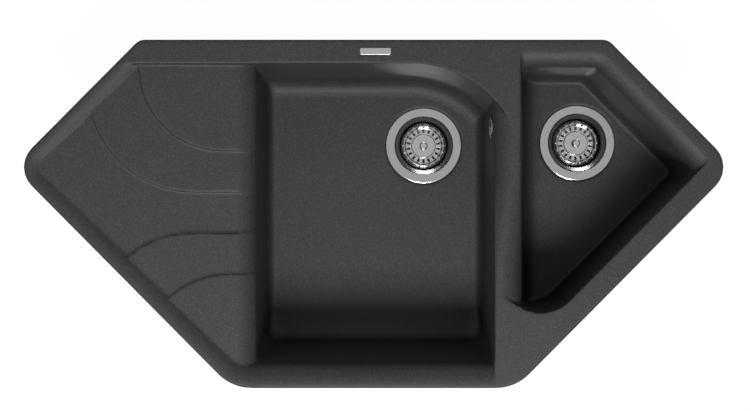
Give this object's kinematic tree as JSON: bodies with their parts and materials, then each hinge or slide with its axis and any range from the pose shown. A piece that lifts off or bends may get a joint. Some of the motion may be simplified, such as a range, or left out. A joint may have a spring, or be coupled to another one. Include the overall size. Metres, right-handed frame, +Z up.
{
  "type": "corner kitchen sink",
  "caption": "Inset corner kitchen sink in dark granite composite with a drainboard, a main bowl and a smaller side bowl, basket strainers, an overflow and worktop clips.",
  "frame": {"origin": "middle of the worktop cut-out, on the worktop's top face under the rim", "axes": "+X along the long back edge, towards the small bowl; +Y towards the corner of the room; +Z up"},
  "size_m": [1, 0.498, 0.2799],
  "materials": {
    "granite": "satin granite composite with fine speckle",
    "seal_foam": "closed-cell foam strip",
    "badge_steel": "fine brushed, bare",
    "rubber": "matte black rubber",
    "zinc_steel": "zinc-plated steel",
    "black_plastic": "black moulded plastic",
    "strainer_steel": "brushed stainless steel"
  },
  "bodies": {
    "sink": {"overflow_rose": "strainer_steel", "overflow_screw": "strainer_steel", "overflow_seal": "rubber", "sink_body": "granite", "rim_seal": "seal_foam", "badge_plate": "badge_steel", "main_strainer_flange": "strainer_steel", "main_flange_gasket": "rubber", "main_waste_gasket": "rubber", "main_waste_body": "black_plastic", "main_clamp_screw": "strainer_steel", "small_strainer_flange": "strainer_steel", "small_flange_gasket": "rubber", "small_waste_gasket": "rubber", "small_waste_body": "black_plastic", "small_clamp_screw": "strainer_steel", "overflow_elbow": "black_plastic", "overflow_pipe": "black_plastic", "overflow_top_nut": "black_plastic", "overflow_top_ring": "rubber", "overflow_waste_nut": "black_plastic", "overflow_waste_ring": "rubber"},
    "main_lift": {"main_stopper": "rubber", "main_basket_post": "strainer_steel"},
    "main_basket_turn": {"main_basket": "strainer_steel"},
    "small_lift": {"small_stopper": "rubber", "small_basket_post": "strainer_steel"},
    "small_basket_turn": {"small_basket": "strainer_steel"},
    "clip_1_lift": {"clip_1_screw": "zinc_steel"},
    "clip_1_swing": {"clip_1_claw": "zinc_steel"},
    "clip_2_lift": {"clip_2_screw": "zinc_steel"},
    "clip_2_swing": {"clip_2_claw": "zinc_steel"},
    "clip_3_lift": {"clip_3_screw": "zinc_steel"},
    "clip_3_swing": {"clip_3_claw": "zinc_steel"},
    "clip_4_lift": {"clip_4_screw": "zinc_steel"},
    "clip_4_swing": {"clip_4_claw": "zinc_steel"},
    "clip_5_lift": {"clip_5_screw": "zinc_steel"},
    "clip_5_swing": {"clip_5_claw": "zinc_steel"},
    "clip_6_lift": {"clip_6_screw": "zinc_steel"},
    "clip_6_swing": {"clip_6_claw": "zinc_steel"}
  },
  "joints": [
    {"name": "main_strainer_lift", "type": "slide", "parent": "sink", "child": "main_lift", "axis": [0, 0, 1], "range_m": [0, 0.24]},
    {"name": "main_basket_spin", "type": "hinge", "parent": "main_lift", "child": "main_basket_turn", "pos_m": [0.0758, 0.1027, -0.2154], "axis": [0, 0, 1], "continuous": true},
    {"name": "small_strainer_lift", "type": "slide", "parent": "sink", "child": "small_lift", "axis": [0, 0, 1], "range_m": [0, 0.24]},
    {"name": "small_basket_spin", "type": "hinge", "parent": "small_lift", "child": "small_basket_turn", "pos_m": [0.3078, 0.1068, -0.2154], "axis": [0, 0, 1], "continuous": true},
    {"name": "clip_1_clamp", "type": "slide", "parent": "sink", "child": "clip_1_lift", "axis": [0, 0, 1], "range_m": [0, 0.016]},
    {"name": "clip_1_turn", "type": "hinge", "parent": "clip_1_lift", "child": "clip_1_swing", "pos_m": [-0.2412, 0.2255, -0.0587], "axis": [0, 0, -1], "range_deg": [0, 90]},
    {"name": "clip_2_clamp", "type": "slide", "parent": "sink", "child": "clip_2_lift", "axis": [0, 0, 1], "range_m": [0, 0.016]},
    {"name": "clip_2_turn", "type": "hinge", "parent": "clip_2_lift", "child": "clip_2_swing", "pos_m": [-0.43041, 0.1196, -0.0587], "axis": [0, 0, -1], "range_deg": [0, 90]},
    {"name": "clip_3_clamp", "type": "slide", "parent": "sink", "child": "clip_3_lift", "axis": [0, 0, 1], "range_m": [0, 0.016]},
    {"name": "clip_3_turn", "type": "hinge", "parent": "clip_3_lift", "child": "clip_3_swing", "pos_m": [-0.40511, -0.01125, -0.0587], "axis": [0, 0, -1], "range_deg": [0, 90]},
    {"name": "clip_4_clamp", "type": "slide", "parent": "sink", "child": "clip_4_lift", "axis": [0, 0, 1], "range_m": [0, 0.016]},
    {"name": "clip_4_turn", "type": "hinge", "parent": "clip_4_lift", "child": "clip_4_swing", "pos_m": [-0.28606, -0.13134, -0.0587], "axis": [0, 0, -1], "range_deg": [0, 90]},
    {"name": "clip_5_clamp", "type": "slide", "parent": "sink", "child": "clip_5_lift", "axis": [0, 0, 1], "range_m": [0, 0.016]},
    {"name": "clip_5_turn", "type": "hinge", "parent": "clip_5_lift", "child": "clip_5_swing", "pos_m": [0.2358, -0.18203, -0.0587], "axis": [0, 0, 1], "range_deg": [0, 90]},
    {"name": "clip_6_clamp", "type": "slide", "parent": "sink", "child": "clip_6_lift", "axis": [0, 0, 1], "range_m": [0, 0.016]},
    {"name": "clip_6_turn", "type": "hinge", "parent": "clip_6_lift", "child": "clip_6_swing", "pos_m": [0.42318, 0.12688, -0.0587], "axis": [0, 0, -1], "range_deg": [0, 90]}
  ]
}
